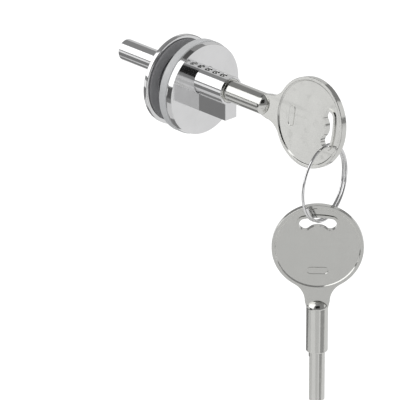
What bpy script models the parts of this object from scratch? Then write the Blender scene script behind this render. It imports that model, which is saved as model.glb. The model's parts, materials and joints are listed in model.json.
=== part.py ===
"""Lock for sliding glass cabinet doors, with its two keys on a split ring.

Two round roses clamp together across a flat gap. A keyhole-shaped barrel slides
into the front rose, and a round rod at its rear stands out behind the rear rose.
Frame: +X right, +Y towards the rear, +Z up. The origin is on the hub's axis, at
the front side of the clamping gap.
"""

from math import acos, asin, cos, hypot, pi, radians, sin, sqrt

import bmesh
import bpy
from mathutils import Matrix, Vector

MM = 0.001

# Clearances
SEAM = 0.1 * MM
RUNNING_GAP = 0.15 * MM
FREE_GAP = 0.3 * MM
OVERSHOOT = 1.0 * MM
WELD = 0.000002

# Facets round a full turn
FINE = 48
MEDIUM = 32
COARSE = 16

# Clamping parts
CLAMP_GAP = 5.0 * MM
HUB_RADIUS = 9.6 * MM
HUB_WALL = 1.1 * MM
ROSE_FLANGE = 4.9 * MM
ROSE_RIM = 0.3 * MM
BEVEL_WIDTH = 0.2 * MM
BEVEL_LENGTH = 1.7 * MM
FRONT_WASHER_THICKNESS = 2.8 * MM
FRONT_WASHER_LIP = 0.3 * MM
REAR_ROSE_INSET = 0.2 * MM
REAR_ROSE_THICKNESS = 1.6 * MM
REAR_ROSE_BEVEL = 0.35 * MM
PAD_THICKNESS = 0.8 * MM
PAD_STANDOUT = 0.8 * MM
PAD_INSET = 1.1 * MM

# Clamping screws
SCREW_RADIUS = 1.25 * MM
SCREW_HEAD_RADIUS = 2.3 * MM
SCREW_HEAD_DEPTH = 1.1 * MM
SCREW_LENGTH = 7.4 * MM
SCREW_CIRCLE = 7.65 * MM
SCREW_ANGLE = radians(45)
SCREW_SOCKET = 0.95 * MM
SCREW_SOCKET_DEPTH = 0.8 * MM

# Barrel
BARREL_RISE = 2.9 * MM
BARREL_RADIUS = 4.5 * MM
BARREL_FLAT = 1.7 * MM
BARREL_STANDOUT = 11.4 * MM
BARREL_TAIL = 1.6 * MM
LEG_WIDTH = 4.8 * MM
LEG_DEPTH = 9.3 * MM

# Pin chambers
CHAMBERS = 5
CHAMBER_RADIUS = 1.1 * MM
CHAMBER_FIRST = 3.3 * MM
CHAMBER_PITCH = 3.25 * MM
PIN_RADIUS = 0.95 * MM
DRIVER_LENGTH = 2.1 * MM
SPRING_WIRE = 0.3 * MM
SPRING_RADIUS = 0.7 * MM
SPRING_TURNS = 4
COVER_THICKNESS = 0.7 * MM
COVER_WIDTH = 2.8 * MM
KEY_PIN_STEPS = (0.0, 0.35, 0.15, 0.4, 0.2)

# Plug, cam and rod
PLUG_RADIUS = 3.3 * MM
PLUG_HEAD_RADIUS = 3.8 * MM
PLUG_HEAD_LENGTH = 0.8 * MM
TAIL_SQUARE = 2.8 * MM
TAIL_LENGTH = 6.6 * MM
CAM_THICKNESS = 1.8 * MM
CAM_HUB_RADIUS = 3.2 * MM
CAM_TIP_RADIUS = 2.0 * MM
CAM_REACH = 7.2 * MM
ROD_RADIUS = 3.4 * MM
ROD_STANDOUT = 23.0 * MM
ROD_CHAMFER = 0.5 * MM
ROD_PIN_RADIUS = 0.75 * MM
ROD_PIN_PLACE = 4.3 * MM

# Keys
BOW_RADIUS = 13.9 * MM
BOW_THICKNESS = 2.0 * MM
BOW_RIM = 1.1 * MM
RECESS_DEPTH = 0.4 * MM
NECK_HALF_WIDTH = 3.8 * MM
NECK_REACH = 3.7 * MM
SLOT_INSET = 5.4 * MM
SLOT_HALF_SPAN = 3.75 * MM
SLOT_LOBE = 1.95 * MM
SLOT_WAIST = 1.4 * MM
SLOT_LIP = 0.8 * MM
COLLAR_RADIUS = 3.35 * MM
COLLAR_OVERLAP = 0.3 * MM
COLLAR_DOME = 2.6 * MM
COLLAR_LENGTH = 16.9 * MM
SHANK_RADIUS = 2.5 * MM
SHANK_LENGTH = 16.8 * MM
SHANK_CHAMFER = 0.6 * MM
CHANNEL_DEPTH = 0.7 * MM
BOW_TURN = radians(9)

# Split ring
RING_RADIUS = 11.85 * MM
RING_WIRE = 0.85 * MM
RING_PITCH = 1.05 * MM
RING_START = radians(200)
RING_SWEEP = radians(558)
RING_TURN = radians(13)
RING_SHIFT = 1.5 * MM
SPARE_SHIFT = 3.5 * MM
SPARE_TURN = radians(-45)
LOBE_GAP = 0.45 * MM
WAIST_GAP = 1.0 * MM

# Sizes and places that follow from the ones above
ROSE_RADIUS = HUB_RADIUS + ROSE_FLANGE
FRONT_WASHER_RADIUS = ROSE_RADIUS + FRONT_WASHER_LIP
REAR_ROSE_RADIUS = ROSE_RADIUS - REAR_ROSE_INSET
PAD_RADIUS = REAR_ROSE_RADIUS - PAD_INSET
CAVITY_RADIUS = HUB_RADIUS - HUB_WALL
NECK_PLACE = BOW_RADIUS + NECK_REACH
SLOT_PLACE = BOW_RADIUS - SLOT_INSET
COLLAR_START = NECK_PLACE - COLLAR_OVERLAP
COLLAR_END = COLLAR_START + COLLAR_LENGTH
ROSE_BACK = -FRONT_WASHER_THICKNESS - 2 * SEAM
FACE = ROSE_BACK - ROSE_RIM - BEVEL_LENGTH
BARREL_FRONT = FACE - BARREL_STANDOUT
REAR_ROSE_FRONT = CLAMP_GAP + PAD_STANDOUT
REAR_ROSE_BACK = REAR_ROSE_FRONT + REAR_ROSE_THICKNESS
HUB_END = REAR_ROSE_FRONT - FREE_GAP
CAVITY_FLOOR = BARREL_TAIL + SEAM
PLUG_BORE = PLUG_RADIUS + SEAM
KEY_BORE = SHANK_RADIUS + SEAM
PLUG_END = BARREL_TAIL
CAM_FRONT = BARREL_TAIL + RUNNING_GAP + SEAM
CAM_BACK = CAM_FRONT + CAM_THICKNESS
ROD_FRONT = CAM_BACK + RUNNING_GAP
ROD_END = REAR_ROSE_BACK + ROD_STANDOUT
SHOULDER = BARREL_FRONT - SEAM
BOW_CENTRE = SHOULDER - COLLAR_END
DRIVER_TOP = -PLUG_BORE - SEAM
SPRING_BOTTOM = -LEG_DEPTH + COVER_THICKNESS + 2 * SEAM
DOWN = Matrix.Rotation(-pi / 2, 4, "X")

# Finishes: colour, metallic, roughness
CHROME = ((0.76, 0.76, 0.77), 1.0, 0.1)
NICKEL = ((0.62, 0.61, 0.58), 1.0, 0.28)
STEEL = ((0.55, 0.55, 0.56), 1.0, 0.25)
BRASS = ((0.72, 0.55, 0.24), 1.0, 0.3)
PLASTIC = ((0.8, 0.81, 0.82), 0.0, 0.35)
PAD = ((0.12, 0.12, 0.13), 0.0, 0.6)


def chamber_places():
    """Distances along Y of the pin chambers."""
    return [BARREL_FRONT + CHAMBER_FIRST + i * CHAMBER_PITCH for i in range(CHAMBERS)]


def make_material(name, colour, metallic, roughness):
    material = bpy.data.materials.new(name)
    material.use_nodes = True
    shader = material.node_tree.nodes["Principled BSDF"]
    shader.inputs["Base Color"].default_value = (*colour, 1.0)
    shader.inputs["Metallic"].default_value = metallic
    shader.inputs["Roughness"].default_value = roughness
    return material


def clear_scene():
    for item in list(bpy.data.objects):
        bpy.data.objects.remove(item)


def make_collection(name):
    collection = bpy.data.collections.new(name)
    bpy.context.scene.collection.children.link(collection)
    return collection


def own_material(item, finish):
    """Give the object its own material from a finish of colour, metal and roughness."""
    item.data.materials.clear()
    item.data.materials.append(make_material(item.name, *finish))


def as_tool(item, tools):
    """Move a helper shape to the tools' collection and keep it out of renders."""
    for collection in list(item.users_collection):
        collection.objects.unlink(item)
    tools.objects.link(item)
    item.hide_render = True
    item.display_type = "WIRE"
    return item


def combine(target, other, operation="DIFFERENCE"):
    modifier = target.modifiers.new(f"{operation.lower()} {other.name}", "BOOLEAN")
    modifier.operation = operation
    modifier.object = other
    modifier.solver = "EXACT"


def shade_round(mesh):
    mesh.shade_smooth()
    mesh.set_sharp_from_angle(angle=radians(30))


def turned(name, profile, segments, collection, closed=False):
    """A shape turned about local Z from a profile of (radius, height) points, top to bottom."""
    mesh = bpy.data.meshes.new(name)
    shape = bmesh.new()
    corners = [shape.verts.new((radius, 0.0, height)) for radius, height in profile]
    for first, second in zip(corners, corners[1:]):
        shape.edges.new((first, second))
    if closed:
        shape.edges.new((corners[-1], corners[0]))
    shape.to_mesh(mesh)
    shape.free()
    item = bpy.data.objects.new(name, mesh)
    collection.objects.link(item)
    screw = item.modifiers.new("turning", "SCREW")
    screw.steps = segments
    screw.render_steps = segments
    screw.use_merge_vertices = True
    screw.merge_threshold = WELD
    screw.use_smooth_shade = True
    return item


def meshed(guide, name, collection):
    """Turn a curve into a welded mesh object and remove the curve."""
    bpy.context.view_layer.update()
    depsgraph = bpy.context.evaluated_depsgraph_get()
    mesh = bpy.data.meshes.new_from_object(guide.evaluated_get(depsgraph))
    mesh.name = name
    shape = bmesh.new()
    shape.from_mesh(mesh)
    bmesh.ops.remove_doubles(shape, verts=shape.verts, dist=WELD)
    bmesh.ops.recalc_face_normals(shape, faces=shape.faces)
    shape.to_mesh(mesh)
    shape.free()
    place = guide.matrix_world.copy()
    bpy.data.objects.remove(guide)
    item = bpy.data.objects.new(name, mesh)
    collection.objects.link(item)
    item.matrix_world = place
    return item


def flat_solid(name, outlines, low, high, collection):
    """A flat solid in local XY between two heights; outlines after the first are holes."""
    curve = bpy.data.curves.new(name, "CURVE")
    curve.dimensions = "2D"
    curve.fill_mode = "BOTH"
    curve.extrude = (high - low) / 2 / MM
    for outline in outlines:
        spline = curve.splines.new("POLY")
        spline.points.add(len(outline) - 1)
        for point, (x, y) in zip(spline.points, outline):
            point.co = (x / MM, y / MM, 0.0, 1.0)
        spline.use_cyclic_u = True
    guide = bpy.data.objects.new(name, curve)
    collection.objects.link(guide)
    item = meshed(guide, name, collection)
    item.data.transform(Matrix.Translation((0, 0, (low + high) / 2)) @ Matrix.Scale(MM, 4))
    return item


def wire(name, points, diameter, collection):
    """A round wire with filled ends along a list of points."""
    curve = bpy.data.curves.new(name, "CURVE")
    curve.dimensions = "3D"
    curve.bevel_depth = diameter / 2
    curve.bevel_resolution = 2
    curve.use_fill_caps = True
    spline = curve.splines.new("POLY")
    spline.points.add(len(points) - 1)
    for point, place in zip(spline.points, points):
        point.co = (*place, 1.0)
    item = bpy.data.objects.new(name, curve)
    collection.objects.link(item)
    return item


def arc(radius, start, end, steps, centre=(0.0, 0.0)):
    """Points along an arc, ends included."""
    turns = [start + (end - start) * i / steps for i in range(steps + 1)]
    return [(centre[0] + radius * cos(t), centre[1] + radius * sin(t)) for t in turns]


def circle(radius, segments, centre=(0.0, 0.0)):
    return arc(radius, 0.0, 2 * pi, segments, centre)[:-1]


def square(width):
    half = width / 2
    return [(half, half), (-half, half), (-half, -half), (half, -half)]


def rod_profile(radius, low, high, chamfer=0.0):
    """Closed-ended turned profile with a chamfer at each end."""
    return [(0.0, high), (radius - chamfer, high), (radius, high - chamfer),
            (radius, low + chamfer), (radius - chamfer, low), (0.0, low)]


def ring_profile(inner, outer, low, high, bevel):
    return [(inner, high), (outer - bevel, high), (outer, high - bevel),
            (outer, low + bevel), (outer - bevel, low), (inner, low)]


def lay_along_y(item, y=0.0, z=0.0):
    """Lay a shape built along local Z so that local Z is +Y and local Y is down."""
    item.matrix_world = Matrix.Translation((0, y, z)) @ DOWN


def keyhole(spread, segments):
    """Keyhole outline in local XY with local +Y down, widened by spread; the top is flat."""
    radius = BARREL_RADIUS + spread
    half_leg = LEG_WIDTH / 2 + spread
    flat = BARREL_FLAT
    top = asin(flat / radius)
    leg = acos(half_leg / radius)
    round_side = arc(radius, -pi / 2 + top, leg, segments)
    right = round_side + [(half_leg, LEG_DEPTH + spread)]
    left = [(-x, y) for x, y in reversed(right)]
    return right + left


def screw_places():
    """Places (x, z) of the two clamping screws."""
    x = SCREW_CIRCLE * cos(SCREW_ANGLE)
    z = -SCREW_CIRCLE * sin(SCREW_ANGLE)
    return [("left", -x, z), ("right", x, z)]


def make_front_rose(parts, tools):
    profile = [(0.0, HUB_END), (HUB_RADIUS, HUB_END), (HUB_RADIUS, ROSE_BACK),
               (ROSE_RADIUS, ROSE_BACK), (ROSE_RADIUS, FACE + BEVEL_LENGTH),
               (ROSE_RADIUS - BEVEL_WIDTH, FACE), (0.0, FACE)]
    rose = turned("front_rose", profile, FINE, parts)
    lay_along_y(rose)
    opening = flat_solid("rose_opening", [keyhole(RUNNING_GAP, 12)], FACE - OVERSHOOT,
                         CAVITY_FLOOR + OVERSHOOT, tools)
    lay_along_y(opening, z=BARREL_RISE)
    combine(rose, as_tool(opening, tools))
    reach = CAM_REACH + 2 * FREE_GAP
    sweep = flat_solid("cam_sweep", [circle(reach, MEDIUM)], CAVITY_FLOOR,
                       HUB_END + OVERSHOOT, tools)
    lay_along_y(sweep, z=BARREL_RISE)
    bore = flat_solid("hub_bore", [circle(CAVITY_RADIUS, MEDIUM)], CAVITY_FLOOR - OVERSHOOT,
                      HUB_END + 2 * OVERSHOOT, tools)
    lay_along_y(bore)
    combine(sweep, as_tool(bore, tools), "INTERSECT")
    combine(rose, as_tool(sweep, tools))
    for side, x, z in screw_places():
        depth = REAR_ROSE_BACK - SCREW_LENGTH - FREE_GAP
        profile = rod_profile(SCREW_RADIUS + SEAM, depth, HUB_END + OVERSHOOT)
        hole = turned(f"tapped_hole_{side}", profile, COARSE, tools)
        hole.matrix_world = Matrix.Translation((x, 0, z)) @ DOWN
        combine(rose, as_tool(hole, tools))
    own_material(rose, CHROME)


def make_front_washer(parts):
    profile = ring_profile(HUB_RADIUS + FREE_GAP, FRONT_WASHER_RADIUS,
                           -FRONT_WASHER_THICKNESS - SEAM, -SEAM, 0.2 * MM)
    washer = turned("front_washer", profile, FINE, parts, closed=True)
    lay_along_y(washer)
    own_material(washer, PLASTIC)


def make_rear_washer(parts):
    low = CLAMP_GAP + SEAM
    profile = ring_profile(HUB_RADIUS + FREE_GAP, PAD_RADIUS, low, low + PAD_THICKNESS, 0.1 * MM)
    washer = turned("rear_washer", profile, FINE, parts, closed=True)
    lay_along_y(washer)
    own_material(washer, PAD)


def screw_cone(spread, overshoot):
    """Profile of a countersunk screw, widened by spread, its head's top at height zero."""
    head = SCREW_HEAD_RADIUS + spread
    return [(0.0, overshoot), (head, overshoot), (head, -0.2 * MM),
            (SCREW_RADIUS + spread, -SCREW_HEAD_DEPTH), (SCREW_RADIUS + spread, -SCREW_LENGTH),
            (0.0, -SCREW_LENGTH)]


def make_rear_rose(parts, tools):
    recess = CLAMP_GAP + PAD_THICKNESS + 2 * SEAM
    outer = PAD_RADIUS + RUNNING_GAP
    front = REAR_ROSE_FRONT
    profile = [(0.0, REAR_ROSE_BACK), (REAR_ROSE_RADIUS - REAR_ROSE_BEVEL, REAR_ROSE_BACK),
               (REAR_ROSE_RADIUS, REAR_ROSE_BACK - REAR_ROSE_BEVEL),
               (REAR_ROSE_RADIUS, front + REAR_ROSE_BEVEL),
               (REAR_ROSE_RADIUS - REAR_ROSE_BEVEL, front), (outer, front), (outer, recess),
               (HUB_RADIUS + SEAM, recess), (HUB_RADIUS + SEAM, front), (0.0, front)]
    rose = turned("rear_rose", profile, FINE, parts)
    lay_along_y(rose)
    hole = turned("rod_hole", rod_profile(ROD_RADIUS + FREE_GAP, front - OVERSHOOT,
                                          REAR_ROSE_BACK + OVERSHOOT), MEDIUM, tools)
    lay_along_y(hole, z=BARREL_RISE)
    combine(rose, as_tool(hole, tools))
    for side, x, z in screw_places():
        sink = turned(f"countersink_{side}", screw_cone(SEAM, OVERSHOOT), COARSE, tools)
        sink.matrix_world = Matrix.Translation((x, REAR_ROSE_BACK, z)) @ DOWN
        combine(rose, as_tool(sink, tools))
    own_material(rose, CHROME)


def make_clamp_screws(parts, tools):
    for side, x, z in screw_places():
        screw = turned(f"clamp_screw_{side}", screw_cone(0.0, -SEAM), COARSE, parts)
        screw.matrix_world = Matrix.Translation((x, REAR_ROSE_BACK, z)) @ DOWN
        recess = flat_solid(f"hex_socket_{side}", [circle(SCREW_SOCKET, 6)], -SCREW_SOCKET_DEPTH,
                            OVERSHOOT, tools)
        recess.matrix_world = screw.matrix_world.copy()
        combine(screw, as_tool(recess, tools))
        own_material(screw, STEEL)


def make_barrel(parts, tools):
    barrel = flat_solid("lock_barrel", [keyhole(0.0, 14)], BARREL_FRONT, BARREL_TAIL, parts)
    lay_along_y(barrel, z=BARREL_RISE)
    shoulder = BARREL_FRONT + PLUG_HEAD_LENGTH + SEAM
    bore_profile = [(0.0, BARREL_TAIL + OVERSHOOT), (PLUG_BORE, BARREL_TAIL + OVERSHOOT),
                    (PLUG_BORE, shoulder), (PLUG_HEAD_RADIUS + SEAM, shoulder),
                    (PLUG_HEAD_RADIUS + SEAM, BARREL_FRONT - OVERSHOOT),
                    (0.0, BARREL_FRONT - OVERSHOOT)]
    bore = turned("plug_bore", bore_profile, MEDIUM, tools)
    lay_along_y(bore, z=BARREL_RISE)
    combine(barrel, as_tool(bore, tools))
    for number, y in enumerate(chamber_places(), 1):
        profile = rod_profile(CHAMBER_RADIUS, -LEG_DEPTH - OVERSHOOT, BARREL_RADIUS + OVERSHOOT)
        chamber = turned(f"chamber_{number}", profile, COARSE, tools)
        chamber.location = (0, y, BARREL_RISE)
        combine(barrel, as_tool(chamber, tools))
    half = COVER_WIDTH / 2 + SEAM
    places = chamber_places()
    run = (places[0] - COVER_WIDTH / 2 - SEAM, places[-1] + COVER_WIDTH / 2 + SEAM)
    groove_outline = [(half, run[0]), (half, run[1]), (-half, run[1]), (-half, run[0])]
    groove = flat_solid("cover_groove", [groove_outline], -LEG_DEPTH - OVERSHOOT,
                        SPRING_BOTTOM - SEAM, tools)
    groove.location = (0, 0, BARREL_RISE)
    combine(barrel, as_tool(groove, tools))
    own_material(barrel, CHROME)


def make_spring_cover(parts):
    places = chamber_places()
    half = COVER_WIDTH / 2
    front = places[0] - half
    rear = places[-1] + half
    outline = [(half, front), (half, rear), (-half, rear), (-half, front)]
    cover = flat_solid("spring_cover", [outline], -LEG_DEPTH, -LEG_DEPTH + COVER_THICKNESS, parts)
    cover.location = (0, 0, BARREL_RISE)
    own_material(cover, BRASS)


def make_pin_stacks(parts):
    """Driver pins and their springs in the leg, key pins in the plug."""
    for number, y in enumerate(chamber_places(), 1):
        bottom = DRIVER_TOP - DRIVER_LENGTH
        driver = turned(f"driver_pin_{number}", rod_profile(PIN_RADIUS, bottom, DRIVER_TOP, 0.2 * MM),
                        COARSE, parts)
        driver.location = (0, y, BARREL_RISE)
        own_material(driver, STEEL)
        make_chamber_spring(number, y, bottom, parts)
        step = KEY_PIN_STEPS[(number - 1) % len(KEY_PIN_STEPS)] * MM
        tip = -SHANK_RADIUS + CHANNEL_DEPTH - SEAM - step
        head = PIN_RADIUS * 0.5
        profile = [(0.0, tip), (head, tip), (PIN_RADIUS, tip - head), (PIN_RADIUS, -PLUG_RADIUS),
                   (0.0, -PLUG_RADIUS)]
        key_pin = turned(f"key_pin_{number}", profile, COARSE, parts)
        key_pin.location = (0, y, BARREL_RISE)
        own_material(key_pin, BRASS)


def make_chamber_spring(number, y, top, parts):
    steps = 7 * SPRING_TURNS
    high = top - SEAM - SPRING_WIRE / 2
    low = SPRING_BOTTOM + SPRING_WIRE / 2
    points = []
    for i in range(steps + 1):
        turn = 2 * pi * SPRING_TURNS * i / steps
        height = low + (high - low) * i / steps
        points.append((SPRING_RADIUS * cos(turn), SPRING_RADIUS * sin(turn), height))
    spring = wire(f"chamber_spring_{number}", points, SPRING_WIRE, parts)
    spring.location = (0, y, BARREL_RISE)
    own_material(spring, STEEL)


def make_plug(parts, tools):
    head = BARREL_FRONT + PLUG_HEAD_LENGTH
    profile = [(0.0, PLUG_END), (PLUG_RADIUS, PLUG_END), (PLUG_RADIUS, head),
               (PLUG_HEAD_RADIUS, head), (PLUG_HEAD_RADIUS, BARREL_FRONT), (0.0, BARREL_FRONT)]
    plug = turned("plug_core", profile, MEDIUM, parts)
    lay_along_y(plug, z=BARREL_RISE)
    tail = flat_solid("plug_tail", [square(TAIL_SQUARE)], PLUG_END - 0.3 * MM,
                      PLUG_END + TAIL_LENGTH, tools)
    lay_along_y(tail, z=BARREL_RISE)
    combine(plug, as_tool(tail, tools), "UNION")
    bottom = SHOULDER + SHANK_LENGTH + FREE_GAP
    bore = turned("key_bore", rod_profile(KEY_BORE, BARREL_FRONT - OVERSHOOT, bottom), MEDIUM, tools)
    lay_along_y(bore, z=BARREL_RISE)
    combine(plug, as_tool(bore, tools))
    for number, y in enumerate(chamber_places(), 1):
        profile = rod_profile(CHAMBER_RADIUS, -PLUG_HEAD_RADIUS - OVERSHOOT, 0.0)
        chamber = turned(f"plug_chamber_{number}", profile, COARSE, tools)
        chamber.location = (0, y, BARREL_RISE)
        combine(plug, as_tool(chamber, tools))
    cross = turned("tail_cross_hole", rod_profile(ROD_PIN_RADIUS + SEAM, -TAIL_SQUARE, TAIL_SQUARE),
                   COARSE, tools)
    cross.location = (0, ROD_FRONT + ROD_PIN_PLACE - FREE_GAP, BARREL_RISE)
    combine(plug, as_tool(cross, tools))
    own_material(plug, NICKEL)


def make_cam(parts):
    """The cam's lobe hangs in line with the leg, so that it passes the rose's opening."""
    centre = CAM_REACH - CAM_TIP_RADIUS
    lean = asin((CAM_HUB_RADIUS - CAM_TIP_RADIUS) / centre)
    outline = arc(CAM_TIP_RADIUS, lean, pi - lean, 10, (0.0, centre))
    outline += arc(CAM_HUB_RADIUS, pi - lean, 2 * pi + lean, 24)
    cam = flat_solid("locking_cam", [outline, square(TAIL_SQUARE + 2 * SEAM)], CAM_FRONT, CAM_BACK,
                     parts)
    lay_along_y(cam, z=BARREL_RISE)
    own_material(cam, STEEL)


def make_rod(parts, tools):
    profile = [(0.0, ROD_END), (ROD_RADIUS - ROD_CHAMFER, ROD_END),
               (ROD_RADIUS, ROD_END - ROD_CHAMFER), (ROD_RADIUS, ROD_FRONT), (0.0, ROD_FRONT)]
    rod = turned("plunger_rod", profile, MEDIUM, parts)
    lay_along_y(rod, z=BARREL_RISE)
    socket = flat_solid("rod_socket", [square(TAIL_SQUARE + 2 * SEAM)], ROD_FRONT - OVERSHOOT,
                        PLUG_END + TAIL_LENGTH + FREE_GAP, tools)
    lay_along_y(socket, z=BARREL_RISE)
    combine(rod, as_tool(socket, tools))
    place = ROD_FRONT + ROD_PIN_PLACE - FREE_GAP
    cross = turned("rod_cross_hole", rod_profile(ROD_PIN_RADIUS + SEAM, -2 * ROD_RADIUS,
                                                 2 * ROD_RADIUS), COARSE, tools)
    cross.location = (0, place, BARREL_RISE)
    combine(rod, as_tool(cross, tools))
    own_material(rod, CHROME)
    reach = ROD_RADIUS - 2 * SEAM
    pin = turned("rod_pin", rod_profile(ROD_PIN_RADIUS, -reach, reach, 0.15 * MM), COARSE, parts)
    pin.location = (0, place, BARREL_RISE)
    own_material(pin, STEEL)


def slot_outline(spread):
    """Kidney-shaped slot concentric with the bow, waisted in its middle."""
    span = asin(SLOT_HALF_SPAN / SLOT_PLACE)
    steps = 8

    def edge(side):
        points = []
        for i in range(steps + 1):
            share = -1 + 2 * i / steps
            half = SLOT_WAIST + (SLOT_LOBE - SLOT_WAIST) * share * share + spread
            radius = SLOT_PLACE + side * half
            turn = -pi / 2 + share * span
            points.append((radius * cos(turn), radius * sin(turn)))
        return points

    def lobe(side):
        turn = -pi / 2 + side * span
        centre = (SLOT_PLACE * cos(turn), SLOT_PLACE * sin(turn))
        start = turn if side > 0 else turn - pi
        return arc(SLOT_LOBE + spread, start, start + pi, 7, centre)[1:-1]

    return edge(1) + lobe(1) + list(reversed(edge(-1))) + lobe(-1)


def bow_outline():
    """Round bow that narrows in two hollow curves to the neck; local +Y points to the tip."""
    fillet = (NECK_PLACE ** 2 - BOW_RADIUS ** 2 + NECK_HALF_WIDTH ** 2)
    fillet /= 2 * (BOW_RADIUS - NECK_HALF_WIDTH)
    x = NECK_HALF_WIDTH + fillet
    meet = acos(x / hypot(x, NECK_PLACE))
    neck_end = COLLAR_START + COLLAR_DOME + 1.0 * MM
    right = [(COLLAR_RADIUS - 0.3 * MM, neck_end)]
    right += arc(fillet, pi, pi + meet, 8, (x, NECK_PLACE))
    bow = arc(BOW_RADIUS, meet, -pi - meet, FINE)[1:-1]
    left = [(-px, py) for px, py in reversed(right)]
    return right + bow + left


def key_shank_profile():
    """Domed collar with a plain shank ahead of it, along local Z, the tip at the top."""
    tip = COLLAR_END + SHANK_LENGTH
    profile = [(0.0, tip), (SHANK_RADIUS - SHANK_CHAMFER, tip), (SHANK_RADIUS, tip - SHANK_CHAMFER),
               (SHANK_RADIUS, COLLAR_END), (COLLAR_RADIUS - 0.3 * MM, COLLAR_END),
               (COLLAR_RADIUS, COLLAR_END - 0.3 * MM)]
    steps = 4
    for i in range(steps + 1):
        turn = pi / 2 * i / steps
        profile.append((COLLAR_RADIUS * cos(turn), COLLAR_START + COLLAR_DOME * (1 - sin(turn))))
    profile[-1] = (0.0, COLLAR_START)
    return profile


def make_key(name, frame, channel_turn, parts, tools):
    """A key in its own frame: local X across the bow, local Y to the tip, local Z its normal."""
    half = BOW_THICKNESS / 2
    key = flat_solid(name, [bow_outline(), slot_outline(0.0)], -half, half, parts)
    key.matrix_world = frame
    recess_outlines = [circle(BOW_RADIUS - BOW_RIM, FINE), slot_outline(SLOT_LIP)]
    for side in (-1, 1):
        ends = sorted((side * (half - RECESS_DEPTH), side * (half + OVERSHOOT)))
        recess = flat_solid(f"{name}_recess_{ends[0] > 0}", recess_outlines, *ends, tools)
        recess.matrix_world = frame
        combine(key, as_tool(recess, tools))
    shank = turned(f"{name}_shank", key_shank_profile(), MEDIUM, tools)
    shank.matrix_world = frame @ Matrix.Rotation(-pi / 2, 4, "X")
    combine(key, as_tool(shank, tools), "UNION")
    width = CHAMBER_RADIUS
    low = -SHANK_RADIUS - OVERSHOOT
    high = -SHANK_RADIUS + CHANNEL_DEPTH
    start = COLLAR_END + CHAMBER_FIRST - CHAMBER_RADIUS - FREE_GAP
    end = COLLAR_END + SHANK_LENGTH + OVERSHOOT
    outline = [(-width, start), (width, start), (width, end), (-width, end)]
    channel = flat_solid(f"{name}_channel", [outline], low, high, tools)
    channel.matrix_world = frame @ Matrix.Rotation(channel_turn, 4, "Y")
    combine(key, as_tool(channel, tools))
    own_material(key, NICKEL)


def working_key_frame():
    across = Vector((sin(BOW_TURN), 0, cos(BOW_TURN)))
    along = Vector((0, 1, 0))
    normal = across.cross(along)
    turn = Matrix((across, along, normal)).transposed().to_4x4()
    return Matrix.Translation((0, BOW_CENTRE, BARREL_RISE)) @ turn


def ring_axes():
    """The split ring's own directions: across its plane's width, and its normal."""
    return Vector((cos(RING_TURN), sin(RING_TURN), 0)), Vector((-sin(RING_TURN), cos(RING_TURN), 0))


def ring_hang_point():
    """Centre of the ring's wire where it rests in the working key's lower slot lobe."""
    frame = working_key_frame()
    span = asin(SLOT_HALF_SPAN / SLOT_PLACE)
    lobe = frame @ Vector((-SLOT_HALF_SPAN, -SLOT_PLACE * cos(span), 0))
    return lobe + Vector((0, 0, -(SLOT_LOBE - RING_WIRE / 2 - LOBE_GAP)))


def ring_centre():
    across = ring_axes()[0]
    drop = sqrt(RING_RADIUS ** 2 - RING_SHIFT ** 2)
    return ring_hang_point() - RING_SHIFT * across + Vector((0, 0, -drop))


def spare_hang_point():
    """Middle of the ring's two lower strands where the spare key hangs."""
    across = ring_axes()[0]
    drop = sqrt(RING_RADIUS ** 2 - SPARE_SHIFT ** 2)
    return ring_centre() - SPARE_SHIFT * across + Vector((0, 0, -drop))


def make_key_ring(parts):
    across, normal = ring_axes()
    centre = ring_centre() - ring_hang_point()
    steps = 54
    points = []
    for i in range(steps + 1):
        turn = RING_START + RING_SWEEP * i / steps
        offset = RING_PITCH * (turn - RING_START - RING_SWEEP / 2) / (2 * pi)
        up = Vector((0, 0, RING_RADIUS * sin(turn)))
        points.append(centre + RING_RADIUS * cos(turn) * across + up + offset * normal)
    ring = wire("key_ring", points, RING_WIRE, parts)
    ring.location = ring_hang_point()
    own_material(ring, CHROME)


def spare_key_frame():
    across = Vector((cos(SPARE_TURN), sin(SPARE_TURN), 0))
    along = Vector((0, 0, -1))
    normal = across.cross(along)
    turn = Matrix((across, along, normal)).transposed().to_4x4()
    rest = SLOT_PLACE + SLOT_WAIST - RING_WIRE / 2 - WAIST_GAP
    return Matrix.Translation(spare_hang_point() + rest * along) @ turn


def hang_on_pivot(name, place, item, parts):
    """Parent an object to an empty on its joint's axis without moving it."""
    pivot = bpy.data.objects.new(name, None)
    pivot.location = place
    parts.objects.link(pivot)
    bpy.context.view_layer.update()
    item.parent = pivot
    item.matrix_parent_inverse = pivot.matrix_world.inverted()


def build():
    clear_scene()
    parts = make_collection("sliding_glass_lock")
    tools = make_collection("tools")
    make_front_rose(parts, tools)
    make_front_washer(parts)
    make_rear_washer(parts)
    make_rear_rose(parts, tools)
    make_clamp_screws(parts, tools)
    make_barrel(parts, tools)
    make_spring_cover(parts)
    make_pin_stacks(parts)
    make_plug(parts, tools)
    make_cam(parts)
    make_rod(parts, tools)
    make_key("working_key", working_key_frame(), pi / 2 - BOW_TURN, parts, tools)
    make_key_ring(parts)
    make_key("spare_key", spare_key_frame(), pi / 2, parts, tools)
    hang_on_pivot("spare_key_pivot", spare_hang_point(), bpy.data.objects["spare_key"], parts)
    for item in list(parts.objects) + list(tools.objects):
        if item.type == "MESH":
            shade_round(item.data)


build()
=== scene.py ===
"""Looks of a lock for sliding glass doors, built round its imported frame.

Run as a script it registers its classes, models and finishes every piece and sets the
stage. Lengths are in metres, +Y runs towards the rear.
"""

import json
from functools import cache
from math import acos, asin, atan2, cos, hypot, pi, radians, sin, sqrt, tan

import bpy
from bpy.props import FloatProperty, FloatVectorProperty, PointerProperty
from mathutils import Matrix, Vector


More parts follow.
